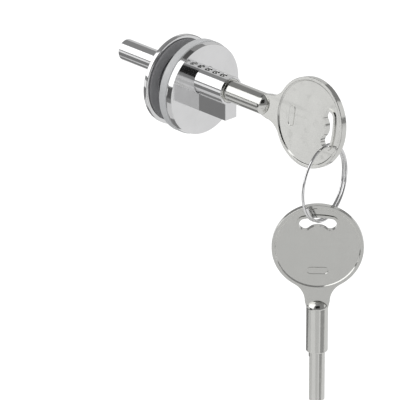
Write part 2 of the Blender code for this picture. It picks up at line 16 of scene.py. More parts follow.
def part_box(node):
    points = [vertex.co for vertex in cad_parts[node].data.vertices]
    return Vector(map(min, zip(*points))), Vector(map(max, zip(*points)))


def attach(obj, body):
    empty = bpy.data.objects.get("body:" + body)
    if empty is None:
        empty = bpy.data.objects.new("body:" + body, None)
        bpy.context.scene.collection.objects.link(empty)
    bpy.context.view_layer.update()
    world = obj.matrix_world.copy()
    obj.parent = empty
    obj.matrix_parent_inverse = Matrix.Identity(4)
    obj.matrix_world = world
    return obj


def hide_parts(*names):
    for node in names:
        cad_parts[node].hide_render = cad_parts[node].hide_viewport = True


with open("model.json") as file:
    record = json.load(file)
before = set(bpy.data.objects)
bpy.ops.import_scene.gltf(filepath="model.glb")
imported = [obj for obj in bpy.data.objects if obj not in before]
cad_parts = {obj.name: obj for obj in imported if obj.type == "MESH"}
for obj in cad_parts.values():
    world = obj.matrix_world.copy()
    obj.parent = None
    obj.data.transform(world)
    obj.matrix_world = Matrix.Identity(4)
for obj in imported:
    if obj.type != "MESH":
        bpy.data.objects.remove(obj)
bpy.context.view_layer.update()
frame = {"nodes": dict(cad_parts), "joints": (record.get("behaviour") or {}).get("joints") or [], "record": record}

bl_info = {
    "name": "Sliding glass lock",
    "version": (1, 0, 0),
    "blender": (4, 5, 0),
    "location": "3D View > Sidebar > Lock",
    "description": "Models and finishes a lock for sliding glass doors with its keys",
    "category": "Object",
}

MM = 0.001
WELD = 0.0005 * MM

# Gaps that the frame keeps between its pieces
SEAM = 0.1 * MM
PIN_ROOM = 0.16 * MM  # between core and barrel, so that the key pins turn past
RUNNING_GAP = 0.15 * MM
FREE_GAP = 0.3 * MM
OVERSHOOT = 1.0 * MM

# Facets round a full turn; the turn keeps a drill's facets off those of its piece
ROSE_ROUND = 192
ROUND = 160
CORE_ROUND = 128
BORE_ROUND = 96
CAVITY_ROUND = 90
SMALL_ROUND = 48
RING_STEPS = 300
DRILL_TURN = 0.017

# Angles from which an edge counts as sharp
SMOOTH_LIMIT = radians(28)
EDGE_LIMIT = radians(35)
CORNER_LIMIT = radians(60)

# Heights under the top of a clamp screw
HEAD_RIM = 0.2 * MM
HEAD_DEPTH = 1.1 * MM
SOCKET_DEPTH = 0.8 * MM


def node_box(name):
    low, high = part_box(name)
    return Vector(low), Vector(high)


# Places read from the frame
ROSE_LOW, ROSE_HIGH = node_box("front_rose")
WASHER_LOW, WASHER_HIGH = node_box("front_washer")
PAD_LOW, PAD_HIGH = node_box("rear_washer")
REAR_LOW, REAR_HIGH = node_box("rear_rose")
BARREL_LOW, BARREL_HIGH = node_box("lock_barrel")
COVER_LOW, COVER_HIGH = node_box("spring_cover")
CAM_LOW, CAM_HIGH = node_box("locking_cam")
ROD_LOW, ROD_HIGH = node_box("plunger_rod")
PIN_LOW, PIN_HIGH = node_box("rod_pin")
KEY_LOW = node_box("working_key")[0]
SPARE_HIGH = node_box("spare_key")[1]
JOINTS = {joint["name"]: joint for joint in frame["joints"]}
BODIES = frame["record"]["behaviour"]["bodies"]
BODY_OF = {node: body for body, nodes in BODIES.items() for node in nodes}
FACE = ROSE_LOW.y
ROSE_BACK = WASHER_LOW.y - SEAM
CORE_HEIGHT = (ROD_LOW.z + ROD_HIGH.z) / 2
SHOULDER = BARREL_LOW.y - SEAM
DOWN = Matrix.Rotation(-pi / 2, 4, "X")
RING_HANG = Vector(JOINTS["ring_swing"]["pos_m"])
SPARE_HANG = Vector(JOINTS["spare_swing"]["pos_m"])
ACROSS = Vector(JOINTS["ring_swing"]["axis"]).normalized()


def length(name, description, default):
    """A length in millimetres that a user may change."""
    return FloatProperty(name=name, description=description, default=default * MM, min=0.0,
                         subtype="DISTANCE", unit="LENGTH", precision=5)


def angle(name, description, default):
    return FloatProperty(name=name, description=description, default=radians(default),
                         subtype="ANGLE", unit="ROTATION")


def share(name, description, default):
    return FloatProperty(name=name, description=description, default=default, min=0.0, max=1.0,
                         subtype="FACTOR")


def colour(name, description, default):
    return FloatVectorProperty(name=name, description=description, default=default, size=3,
                               min=0.0, max=1.0, subtype="COLOR")


class LockSizes(bpy.types.PropertyGroup):
    """Sizes of the lock's body."""

    hub_radius: length("Hub radius", "Radius of the front rose's hub", 9.6)
    hub_wall: length("Hub wall", "Wall of the hub round the cam", 1.1)
    bevel_width: length("Bevel width", "Width of the front rose's bevel", 0.2)
    bevel_length: length("Bevel length", "Length of the front rose's bevel", 1.7)
    soft_edge: length("Soft edge", "Rounding of the polished edges", 0.12)
    rear_edge: length("Rear edge", "Rounding of the rear rose's edges", 0.35)
    barrel_radius: length("Barrel radius", "Radius of the barrel's round part", 4.5)
    barrel_flat: length("Barrel flat", "Half width of the flat along the barrel's top", 1.7)
    leg_width: length("Leg width", "Width of the barrel's leg", 4.8)
    leg_depth: length("Leg depth", "From the core's axis to the leg's underside", 9.3)
    core_radius: length("Core radius", "Radius of the turning core", 3.3)
    core_head_radius: length("Core head radius", "Radius of the core's head", 3.8)
    core_head: length("Core head", "Length of the core's head", 0.8)
    tail_square: length("Tail square", "Width of the core's square tail", 2.8)
    tail_length: length("Tail length", "Length of the core's square tail", 6.6)
    chamber_radius: length("Chamber radius", "Radius of a pin chamber", 1.1)
    chamber_first: length("First chamber", "From the barrel's front to the first chamber", 3.3)
    chamber_pitch: length("Chamber pitch", "Spacing of the pin chambers", 3.25)
    cam_hub: length("Cam hub", "Radius of the cam round the square", 3.2)
    cam_tip: length("Cam tip", "Radius of the cam's tip", 2.0)
    cam_reach: length("Cam reach", "From the core's axis to the cam's tip", 7.2)
    rod_chamfer: length("Rod chamfer", "Chamfer at the rod's end", 0.5)
    screw_circle: length("Screw circle", "Radius on which the clamp screws lie", 7.65)
    screw_turn: angle("Screw turn", "Angle of the clamp screws below the level", 45.0)
    screw_head: length("Screw head", "Radius of a screw head", 2.3)
    screw_radius: length("Screw radius", "Radius of a screw's thread", 1.25)
    screw_length: length("Screw length", "Length of a screw with its head", 7.4)
    screw_socket: length("Screw socket", "Radius of the hexagonal socket", 0.95)


class KeySizes(bpy.types.PropertyGroup):
    """Sizes of the two keys and of their ring."""

    bow_radius: length("Bow radius", "Radius of the round bow", 13.9)
    bow_thickness: length("Bow thickness", "Thickness of the bow", 2.0)
    bow_rim: length("Bow rim", "Width of the raised rim", 1.1)
    recess: length("Recess", "Depth of the bow's recess", 0.4)
    edge: length("Edge", "Rounding of the bow's edges", 0.14)
    neck_half: length("Neck half width", "Half width of the neck", 3.8)
    neck_reach: length("Neck reach", "From the bow's edge to the neck", 3.7)
    slot_inset: length("Slot inset", "From the bow's edge to the slot's middle line", 5.4)
    slot_span: length("Slot half span", "Half of the slot's span between lobe centres", 3.75)
    slot_lobe: length("Slot lobe", "Radius of the slot's ends", 1.95)
    slot_waist: length("Slot waist", "Half width of the slot's waist", 1.4)
    slot_lip: length("Slot lip", "Width of the raised lip round the slot", 0.8)
    collar_radius: length("Collar radius", "Radius of the collar", 3.35)
    collar_overlap: length("Collar overlap", "How far the dome reaches into the neck", 0.3)
    collar_dome: length("Collar dome", "Height of the collar's dome", 2.6)
    collar_length: length("Collar length", "Length of the collar with its dome", 16.9)
    shank_radius: length("Shank radius", "Radius of the shank", 2.5)
    shank_length: length("Shank length", "Length of the shank", 16.8)
    shank_chamfer: length("Shank chamfer", "Chamfer at the shank's tip", 0.6)
    channel: length("Channel", "Depth of the channel for the pins", 0.7)
    field_half: length("Field half length", "Half length of the bow's blank raised field", 3.2)
    field_round: length("Field rounding", "Radius of the field's round ends", 1.1)
    field_place: length("Field place", "From the bow's centre to the raised field", 7.6)
    bow_turn: angle("Bow turn", "How far the key in the lock is turned", 9.0)
    spare_turn: angle("Spare turn", "How far the hanging key faces aside", -45.0)
    ring_radius: length("Ring radius", "Mean radius of the split ring", 11.85)
    ring_wire: length("Ring wire", "Diameter of the ring's wire", 0.85)
    ring_pitch: length("Ring pitch", "Spacing of the ring's coils", 1.05)
    ring_start: angle("Ring start", "Where the wire begins round the ring", 200.0)
    ring_sweep: angle("Ring sweep", "How far the wire winds", 558.0)
    ring_shift: length("Ring shift", "How far the ring hangs aside from its key", 1.5)


class LockFinishes(bpy.types.PropertyGroup):
    """Colours and sheen of the finishes."""

    chrome: colour("Chrome", "Colour of the polished chrome", (0.82, 0.82, 0.825))
    chrome_sheen: share("Chrome roughness", "Roughness of the polished chrome", 0.07)
    nickel: colour("Nickel", "Colour of the keys' nickel", (0.72, 0.72, 0.695))
    nickel_sheen: share("Nickel roughness", "Roughness of the keys' nickel", 0.12)
    steel: colour("Steel", "Colour of the plain steel", (0.58, 0.58, 0.585))
    steel_sheen: share("Steel roughness", "Roughness of the plain steel", 0.24)
    brass: colour("Brass", "Colour of the turned brass", (0.76, 0.58, 0.27))
    brass_sheen: share("Brass roughness", "Roughness of the turned brass", 0.25)
    plastic: colour("Plastic", "Colour of the pale washer", (0.72, 0.73, 0.74))
    rubber: colour("Rubber", "Colour of the dark pad", (0.3, 0.3, 0.31))
    floor: colour("Floor", "Colour of the floor", (0.78, 0.78, 0.78))


# Hand tools on meshes

def select_only(item):
    bpy.ops.object.select_all(action="DESELECT")
    item.select_set(True)
    bpy.context.view_layer.objects.active = item


def named(name):
    """Name the new object and its mesh."""
    item = bpy.context.object
    item.name = name
    item.data.name = name
    return item


def plane(name, size, location):
    bpy.ops.object.select_all(action="DESELECT")
    bpy.ops.mesh.primitive_plane_add(size=size, location=location)
    return named(name)


def settle():
    bpy.ops.object.transform_apply(location=True, rotation=True, scale=True)


def trace(name, points):
    """Draw a chain of edges through points, drawn out of one corner."""
    item = plane(name, MM, points[0])
    settle()
    bpy.ops.object.mode_set(mode="EDIT")
    bpy.ops.mesh.select_all(action="SELECT")
    bpy.ops.mesh.merge(type="CENTER")
    for start, end in zip(points, points[1:]):
        step = [b - a for a, b in zip(start, end)]
        bpy.ops.mesh.extrude_vertices_move(TRANSFORM_OT_translate={"value": step})
    weld()
    return item


def weld():
    bpy.ops.mesh.select_all(action="SELECT")
    bpy.ops.mesh.remove_doubles(threshold=WELD)


def close_mesh():
    """Weld the mesh in edit mode, point its faces outwards and leave edit mode."""
    weld()
    bpy.ops.mesh.normals_make_consistent(inside=False)
    bpy.ops.object.mode_set(mode="OBJECT")


def lathe(name, profile, steps=ROUND):
    """Turn a profile of (radius, height) points about local Z."""
    item = trace(name, [(radius, 0.0, height) for radius, height in profile])
    bpy.ops.mesh.spin(steps=steps, angle=2 * pi, center=(0, 0, 0), axis=(0, 0, 1),
                      use_auto_merge=True)
    close_mesh()
    return item


def slab(name, outline, low, high, chamfer=0.0):
    """Fill an outline in local XY and pull it up to a slab, its top edge chamfered."""
    item = trace(name, [(x, y, low) for x, y in outline + outline[:1]])
    bpy.ops.mesh.edge_face_add()
    bpy.ops.mesh.extrude_region_move(
        TRANSFORM_OT_translate={"value": (0, 0, high - chamfer - low)})
    if chamfer:
        bpy.ops.mesh.inset(thickness=chamfer, depth=chamfer)
    close_mesh()
    return item


def place(item, matrix):
    """Put a piece in its place and keep that place in its mesh."""
    select_only(item)
    item.matrix_world = matrix
    settle()
    return item


def apply_last(item):
    bpy.ops.object.modifier_apply(modifier=item.modifiers[-1].name)


def combine(item, tool, operation="DIFFERENCE"):
    """Cut, join or intersect with a tool, and clear the tool away."""
    select_only(item)
    bpy.ops.object.modifier_add(type="BOOLEAN")
    boolean = item.modifiers[-1]
    boolean.operation = operation
    boolean.solver = "EXACT"
    boolean.object = tool
    apply_last(item)
    bpy.data.objects.remove(tool)
    bpy.ops.object.mode_set(mode="EDIT")
    weld()
    bpy.ops.mesh.dissolve_degenerate(threshold=WELD)
    bpy.ops.object.mode_set(mode="OBJECT")
    return item


def drill(item, profile, matrix, steps=SMALL_ROUND):
    """Cut a turned hole whose facets lie off those of the piece."""
    tool = lathe("drill", profile, steps)
    return combine(item, place(tool, matrix @ Matrix.Rotation(DRILL_TURN, 4, "Z")))


def soften(item, width, segments=2, limit=EDGE_LIMIT):
    """Round the edges sharper than the limit."""
    select_only(item)
    bpy.ops.object.modifier_add(type="BEVEL")
    bevel = item.modifiers[-1]
    bevel.width = width
    bevel.segments = segments
    bevel.limit_method = "ANGLE"
    bevel.angle_limit = limit
    bevel.miter_outer = "MITER_ARC"
    apply_last(item)


def copied(item, name):
    select_only(item)
    bpy.ops.object.duplicate(linked=False)
    return named(name)


def clad(item, material):
    item.data.materials.clear()
    item.data.materials.append(finish_of(material))


def finish(item, material, node):
    """Smooth, clad and mount a piece in place of its frame node."""
    select_only(item)
    bpy.ops.object.shade_smooth_by_angle(angle=SMOOTH_LIMIT)
    bpy.ops.object.modifier_add(type="WEIGHTED_NORMAL")
    item.modifiers[-1].weight = 100
    item.modifiers[-1].keep_sharp = True
    apply_last(item)
    clad(item, material)
    # Painted reflection: the front rose and washer are left out of reflections, so the metal beside them shows the
    # cards and world in their place.
    item.visible_glossy = node not in ("front_rose", "front_washer")
    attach(item, BODY_OF[node])
    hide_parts(node)


# Outlines and profiles

def arc(radius, start, end, steps, centre=(0.0, 0.0)):
    turns = [start + (end - start) * i / steps for i in range(steps + 1)]
    return [(centre[0] + radius * cos(t), centre[1] + radius * sin(t)) for t in turns]


def rectangle(half, low, high):
    return [(half, low), (half, high), (-half, high), (-half, low)]


def square(width):
    return rectangle(width / 2, -width / 2, width / 2)


def rounded(points, radii, steps=5):
    """Replace the corners of an open profile by arcs of the given radii."""
    result = [points[0]]
    for i, radius in enumerate(radii, 1):
        corner = Vector(points[i])
        if radius == 0:
            result.append(tuple(corner))
            continue
        before = (Vector(points[i - 1]) - corner).normalized()
        after = (Vector(points[i + 1]) - corner).normalized()
        opening = before.angle(after)
        reach = radius / tan(opening / 2)
        middle = corner + (before + after).normalized() * radius / sin(opening / 2)
        start = corner + before * reach - middle
        end = corner + after * reach - middle
        turn = atan2(start.x * end.y - start.y * end.x, start.dot(end))
        first = atan2(start.y, start.x)
        result += arc(radius, first, first + turn, steps, tuple(middle))
    return result + [points[-1]]


def rod_profile(radius, low, high):
    return [(0.0, high), (radius, high), (radius, low), (0.0, low)]


def keyhole(sizes, spread, steps):
    """Keyhole outline in local XY with local +Y down, widened by spread."""
    radius = sizes.barrel_radius + spread
    half_leg = sizes.leg_width / 2 + spread
    top = asin(sizes.barrel_flat / radius)
    leg = acos(half_leg / radius)
    right = arc(radius, -pi / 2 + top, leg, steps) + [(half_leg, sizes.leg_depth + spread)]
    return right + [(-x, y) for x, y in reversed(right)]


def along_rear(height=0.0, y=0.0, x=0.0):
    """Place of a shape whose local Z is +Y and whose local Y points down."""
    return Matrix.Translation((x, y, height)) @ DOWN


def across_core(y):
    """Place on the core's axis of a shape that stays upright."""
    return Matrix.Translation((0, y, CORE_HEIGHT))


CORE_LINE = along_rear(CORE_HEIGHT)
PIN_LINE = across_core((PIN_LOW.y + PIN_HIGH.y) / 2)


def chamber_places(sizes):
    first = BARREL_LOW.y + sizes.chamber_first
    return [first + i * sizes.chamber_pitch for i in range(5)]


def screw_places(sizes):
    x = sizes.screw_circle * cos(sizes.screw_turn)
    height = -sizes.screw_circle * sin(sizes.screw_turn)
    return [("left", -x, height), ("right", x, height)]


def screw_cone(sizes, spread, top):
    """Countersunk screw profile, widened by spread, the head's top at height zero."""
    head = sizes.screw_head + spread
    shaft = sizes.screw_radius + spread
    depth = sizes.screw_length
    return [(0.0, top), (head, top), (head, -HEAD_RIM), (shaft, -HEAD_DEPTH), (shaft, -depth),
            (0.0, -depth)]


# Finishes

SOCKETS = {type(None): "NodeSocketVector", tuple: "NodeSocketColor", float: "NodeSocketFloat"}


def add_node(tree, kind, inputs=None, **settings):
    """Add a node, set its settings, and set or link its inputs."""
    node = tree.nodes.new(kind)
    for name, value in settings.items():
        setattr(node, name, value)
    for name, value in (inputs or {}).items():
        if isinstance(value, bpy.types.NodeSocket):
            tree.links.new(value, node.inputs[name])
        else:
            node.inputs[name].default_value = value
    return node


def maths(tree, operation, *values):
    """The result of a Math node on sockets and numbers."""
    node = add_node(tree, "ShaderNodeMath", dict(enumerate(values)), operation=operation)
    return node.outputs[0]


def effect_group(name, inputs, **outputs):
    """An empty shader node group; the kind of an input follows from its default."""
    group = bpy.data.node_groups.new(name, "ShaderNodeTree")
    for label, value in inputs.items():
        socket = group.interface.new_socket(name=label, in_out="INPUT",
                                            socket_type=SOCKETS[type(value)])
        if value is not None:
            socket.default_value = value
    for label, kind in outputs.items():
        group.interface.new_socket(name=label, in_out="OUTPUT", socket_type=f"NodeSocket{kind}")
    return group, group.nodes.new("NodeGroupInput").outputs


@cache
def smudge_group():
    """Cloudy handling marks that shift the roughness and dull the colour a little."""
    group, given = effect_group("Handling marks", {
        "Vector": None, "Colour": (1, 1, 1, 1), "Roughness": 0.1, "Scale": 200.0,
        "Spread": 0.05, "Dulling": 0.1}, Colour="Color", Roughness="Float")
    clouds = add_node(group, "ShaderNodeTexNoise", {
        "Vector": given["Vector"], "Scale": given["Scale"], "Detail": 5.0, "Roughness": 0.6})
    level = add_node(group, "ShaderNodeMapRange", {
        "Value": clouds.outputs["Fac"], "From Min": 0.35, "From Max": 0.7}).outputs["Result"]
    rough = maths(group, "MULTIPLY_ADD", level, given["Spread"], given["Roughness"])
    keep = maths(group, "SUBTRACT", 1.0, maths(group, "MULTIPLY", level, given["Dulling"]))
    tint = add_node(group, "ShaderNodeVectorMath", {0: given["Colour"], "Scale": keep},
                    operation="SCALE")
    add_node(group, "NodeGroupOutput", {"Colour": tint.outputs[0], "Roughness": rough})
    return group


@cache
def turning_group():
    """Fine rings round the turning axis, which is local Y of the given vector."""
    group, given = effect_group(
        "Turning lines", {"Vector": None, "Lines": 900.0, "Rings": 0.5}, Height="Float")
    wave = {"Vector": given["Vector"], "Scale": given["Lines"], "Distortion": 0.6, "Detail": 2.0}
    rings = add_node(group, "ShaderNodeTexWave", wave, wave_type="RINGS", rings_direction="Y")
    bands = add_node(group, "ShaderNodeTexWave", wave, wave_type="BANDS", bands_direction="Y")
    mix = add_node(group, "ShaderNodeMix", {
        "Factor": given["Rings"], "A": bands.outputs["Fac"], "B": rings.outputs["Fac"]})
    add_node(group, "NodeGroupOutput", {"Height": mix.outputs["Result"]})
    return group


@cache
def scratch_group():
    """Sparse hairline scratches in two directions."""
    group, given = effect_group("Hairlines", {"Vector": None, "Scale": 300.0, "Amount": 0.5},
                                Height="Float", Mask="Float")
    masks = []
    for turn, stretch in (((0.3, 0.2, 0.5), (0.05, 1.0, 1.0)),
                          ((0.9, 1.3, 0.1), (1.0, 0.06, 1.0))):
        mapping = add_node(group, "ShaderNodeMapping", {
            "Vector": given["Vector"], "Rotation": turn, "Scale": stretch})
        lines = add_node(group, "ShaderNodeTexNoise", {
            "Vector": mapping.outputs["Vector"], "Scale": given["Scale"], "Detail": 2.0})
        cut = add_node(group, "ShaderNodeMapRange", {
            "Value": lines.outputs["Fac"], "From Min": 0.6, "From Max": 0.68})
        masks.append(cut.outputs["Result"])
    mask = maths(group, "MULTIPLY", maths(group, "MAXIMUM", *masks), given["Amount"])
    add_node(group, "NodeGroupOutput", {
        "Height": maths(group, "SUBTRACT", 0.0, mask), "Mask": mask})
    return group


@cache
def grain_group():
    """Fine even grain, as on plated or moulded faces."""
    group, given = effect_group("Surface grain", {"Vector": None, "Scale": 2500.0}, Height="Float")
    grain = add_node(group, "ShaderNodeTexNoise", {
        "Vector": given["Vector"], "Scale": given["Scale"], "Detail": 3.0, "Roughness": 0.55})
    add_node(group, "NodeGroupOutput", {"Height": grain.outputs["Fac"]})
    return group


def effect(tree, group, inputs):
    """Place one of the shared effects in a material and give its outputs."""
    return add_node(tree, "ShaderNodeGroup", inputs, node_tree=group()).outputs


def new_material(name):
    material = bpy.data.materials.new(name)
    material.use_nodes = True
    return material, material.node_tree, material.node_tree.nodes["Principled BSDF"]


def surface(name, tint, roughness, marks, texture, hairlines=None, centre=(0, 0, 0),
            metallic=1.0):
    """A finish with cloudy marks, one fine texture and, on metal, hairlines.

    marks are their scale, spread and dulling; texture is the effect's group, its inputs
    and its depth; hairlines are their scale, their share in the roughness and their depth.
    """
    material, tree, shader = new_material(name)
    shader.inputs["Metallic"].default_value = metallic
    own = add_node(tree, "ShaderNodeTexCoord").outputs["Object"]
    vector = add_node(tree, "ShaderNodeMapping", {
        "Vector": own, "Location": [-value for value in centre]}).outputs["Vector"]
    clouds = effect(tree, smudge_group, {
        "Vector": vector, "Colour": (*tint, 1.0), "Roughness": roughness,
        **dict(zip(("Scale", "Spread", "Dulling"), marks))})
    group, inputs, depth = texture
    fine = effect(tree, group, {"Vector": vector, **inputs})
    height = maths(tree, "MULTIPLY", fine["Height"], depth)
    rough = clouds["Roughness"]
    if hairlines:
        scale, wear, cut = hairlines
        lines = effect(tree, scratch_group, {"Vector": vector, "Scale": scale})
        height = maths(tree, "MULTIPLY_ADD", lines["Height"], cut, height)
        rough = maths(tree, "MULTIPLY_ADD", lines["Mask"], wear, rough)
    relief = add_node(tree, "ShaderNodeBump", {"Height": height, "Distance": 0.001})
    tree.links.new(clouds["Colour"], shader.inputs["Base Color"])
    tree.links.new(rough, shader.inputs["Roughness"])
    tree.links.new(relief.outputs["Normal"], shader.inputs["Normal"])
    return material


def turned(name, tint, roughness, rings, centre, depth=0.0006, dulling=0.06):
    """Bright metal with fine turning lines round its axis."""
    return surface(name, tint, roughness, (160.0, 0.04, dulling),
                   (turning_group, {"Lines": 700.0, "Rings": rings}, depth),
                   (260.0, 0.06, depth), centre)


def plated(name, tint, roughness):
    """Satin plating with a fine grain."""
    return surface(name, tint, roughness, (240.0, 0.015, 0.03),
                   (grain_group, {"Scale": 1500.0}, 0.0004), (420.0, 0.08, 0.0006))


def moulded(name, tint, roughness, scale, depth):
    """Moulded plastic or rubber with a fine grain and uneven sheen."""
    return surface(name, tint, roughness, (180.0, 0.15, 0.12),
                   (grain_group, {"Scale": scale}, depth), metallic=0.0)


@cache
def finish_of(name):
    """The named finish, made when it is first asked for."""
    colours = bpy.context.scene.lock_finishes
    core = (0, 0, CORE_HEIGHT)
    makers = {
        "rose_chrome": (turned, colours.chrome, colours.chrome_sheen, 1.0, (0, 0, 0)),
        "core_chrome": (turned, colours.chrome, colours.chrome_sheen, 0.0, core),
        "core_nickel": (turned, colours.nickel, colours.nickel_sheen, 0.0, core),
        "key_nickel": (plated, colours.nickel, colours.nickel_sheen),
        "ring_steel": (turned, colours.chrome, 0.1, 0.0, RING_HANG, 0.0006, 0.12),
        "plain_steel": (turned, colours.steel, colours.steel_sheen, 0.5, core, 0.001),
        "turned_brass": (turned, colours.brass, colours.brass_sheen, 0.0, core, 0.001),
        "pale_plastic": (moulded, colours.plastic, 0.32, 1800.0, 0.004),
        "dark_rubber": (moulded, colours.rubber, 0.55, 2600.0, 0.012),
    }
    maker, *values = makers[name]
    return maker(name, *values)


# Pieces of the lock

class LOCK_OT_front_rose(bpy.types.Operator):
    """Turn the front rose, cut the keyhole opening, the cam's cavity and the tapped holes"""

    bl_idname = "glass_lock.front_rose"
    bl_label = "Front rose"

    def execute(self, context):
        sizes = context.scene.lock_sizes
        radius = ROSE_HIGH.x
        soft = sizes.soft_edge
        end = ROSE_HIGH.y
        profile = [(0.0, end), (sizes.hub_radius, end), (sizes.hub_radius, ROSE_BACK),
                   (radius, ROSE_BACK), (radius, FACE + sizes.bevel_length),
                   (radius - sizes.bevel_width, FACE), (0.0, FACE)]
        profile = rounded(profile, [soft, 0, soft / 2, soft, soft])
        rose = lathe("front_rose_turned", profile, ROSE_ROUND)
        place(rose, along_rear())
        floor = BARREL_HIGH.y + SEAM
        opening = slab("opening", keyhole(sizes, RUNNING_GAP, 40), FACE - OVERSHOOT,
                       floor + OVERSHOOT)
        combine(rose, place(opening, CORE_LINE))
        sweep = lathe("sweep", rod_profile(sizes.cam_reach + 2 * FREE_GAP, floor,
                                           end + OVERSHOOT), BORE_ROUND)
        place(sweep, CORE_LINE)
        bore = lathe("bore", rod_profile(sizes.hub_radius - sizes.hub_wall, floor - OVERSHOOT,
                                         end + 2 * OVERSHOOT), CAVITY_ROUND)
        combine(sweep, place(bore, along_rear()), "INTERSECT")
        combine(rose, sweep)
        depth = REAR_HIGH.y - sizes.screw_length - FREE_GAP
        for side, x, height in screw_places(sizes):
            drill(rose, rod_profile(sizes.screw_radius + SEAM, depth, end + OVERSHOOT),
                  along_rear(height, x=x))
        finish(rose, "rose_chrome", "front_rose")
        return {"FINISHED"}


class LOCK_OT_washers(bpy.types.Operator):
    """Turn the pale washer behind the front rose and the dark pad in the rear rose"""

    bl_idname = "glass_lock.washers"
    bl_label = "Washers"

    def execute(self, context):
        inner = context.scene.lock_sizes.hub_radius + FREE_GAP
        rows = (("front_washer", WASHER_LOW, WASHER_HIGH, 0.25, "pale_plastic", "pale_plastic"),
                ("rear_washer", PAD_LOW, PAD_HIGH, 0.12, "dark_rubber", "dark_pad"))
        for node, low, high, rounding, material, slot in rows:
            edge = rounding * MM
            middle = (low.y + high.y) / 2
            profile = [(inner, middle), (inner, high.y), (high.x, high.y), (high.x, low.y),
                       (inner, low.y), (inner, middle)]
            washer = lathe(f"{node}_ring", rounded(profile, [edge / 2, edge, edge, edge / 2]))
            place(washer, along_rear())
            finish(washer, material, node)
        return {"FINISHED"}


class LOCK_OT_rear_rose(bpy.types.Operator):
    """Turn the rear rose with the pad's recess, the rod's hole and the countersinks"""

    bl_idname = "glass_lock.rear_rose"
    bl_label = "Rear rose"

    def execute(self, context):
        sizes = context.scene.lock_sizes
        radius = REAR_HIGH.x
        front = REAR_LOW.y
        back = REAR_HIGH.y
        seat = PAD_HIGH.y + SEAM
        outer = PAD_HIGH.x + RUNNING_GAP
        inner = sizes.hub_radius + SEAM
        edge = sizes.rear_edge
        profile = [(0.0, back), (radius, back), (radius, front), (outer, front), (outer, seat),
                   (inner, seat), (inner, front), (0.0, front)]
        profile = rounded(profile, [edge, edge, 0, 0, 0, 0], 8)
        rose = lathe("rear_rose_turned", profile, ROSE_ROUND)
        place(rose, along_rear())
        drill(rose, rod_profile(ROD_HIGH.x + FREE_GAP, front - OVERSHOOT, back + OVERSHOOT),
              CORE_LINE, BORE_ROUND)
        for side, x, height in screw_places(sizes):
            drill(rose, screw_cone(sizes, SEAM, OVERSHOOT), along_rear(height, back, x))
        finish(rose, "rose_chrome", "rear_rose")
        return {"FINISHED"}


class LOCK_OT_clamp_screws(bpy.types.Operator):
    """Turn one countersunk screw with a hexagonal socket and copy it to both places"""

    bl_idname = "glass_lock.clamp_screws"
    bl_label = "Clamp screws"

    def execute(self, context):
        sizes = context.scene.lock_sizes
        profile = rounded(screw_cone(sizes, 0.0, -SEAM), [0.05 * MM, 0, 0, 0.2 * MM], 3)
        screw = lathe("clamp_screw", profile, SMALL_ROUND)
        hexagon = arc(sizes.screw_socket, 0, 2 * pi, 6)[:-1]
        combine(screw, slab("socket", hexagon, -SOCKET_DEPTH, OVERSHOOT))
        for side, x, height in screw_places(sizes):
            item = copied(screw, f"clamp_screw_{side}_turned")
            place(item, along_rear(height, REAR_HIGH.y, x))
            finish(item, "plain_steel", f"clamp_screw_{side}")
        bpy.data.objects.remove(screw)
        return {"FINISHED"}


class LOCK_OT_barrel(bpy.types.Operator):
    """Shape the keyhole barrel, bore it for the core, drill the chambers and soften it"""

    bl_idname = "glass_lock.barrel"
    bl_label = "Barrel"

    def execute(self, context):
        sizes = context.scene.lock_sizes
        front = BARREL_LOW.y
        back = BARREL_HIGH.y
        barrel = slab("lock_barrel_shaped", keyhole(sizes, 0.0, 64), front, back)
        place(barrel, CORE_LINE)
        soften(barrel, sizes.soft_edge, 3)
        shoulder = front + sizes.core_head + SEAM
        bore_radius = sizes.core_radius + PIN_ROOM
        head_radius = sizes.core_head_radius + SEAM
        drill(barrel, [(0.0, back + OVERSHOOT), (bore_radius, back + OVERSHOOT),
                       (bore_radius, shoulder), (head_radius, shoulder),
                       (head_radius, front - OVERSHOOT), (0.0, front - OVERSHOOT)],
              CORE_LINE, BORE_ROUND)
        flat = sqrt(sizes.barrel_radius ** 2 - sizes.barrel_flat ** 2)
        for y in chamber_places(sizes):
            radius = sizes.chamber_radius
            profile = [(0.0, flat + OVERSHOOT), (radius + 0.1 * MM, flat + OVERSHOOT),
                       (radius + 0.1 * MM, flat), (radius, flat - 0.1 * MM),
                       (radius, -sizes.leg_depth - OVERSHOOT), (0.0, -sizes.leg_depth - OVERSHOOT)]
            drill(barrel, profile, across_core(y))
        outline = rectangle(COVER_HIGH.x + SEAM, COVER_LOW.y - SEAM, COVER_HIGH.y + SEAM)
        groove = slab("groove", outline, COVER_LOW.z - OVERSHOOT, COVER_HIGH.z + SEAM)
        combine(barrel, groove)
        finish(barrel, "core_chrome", "lock_barrel")
        return {"FINISHED"}


class LOCK_OT_spring_cover(bpy.types.Operator):
    """Shape the brass strip that closes the chambers under the leg"""

    bl_idname = "glass_lock.spring_cover"
    bl_label = "Spring cover"

    def execute(self, context):
        outline = rectangle(COVER_HIGH.x, COVER_LOW.y, COVER_HIGH.y)
        cover = slab("spring_cover_strip", outline, COVER_LOW.z, COVER_HIGH.z)
        soften(cover, 0.08 * MM, 2)
        finish(cover, "turned_brass", "spring_cover")
        return {"FINISHED"}


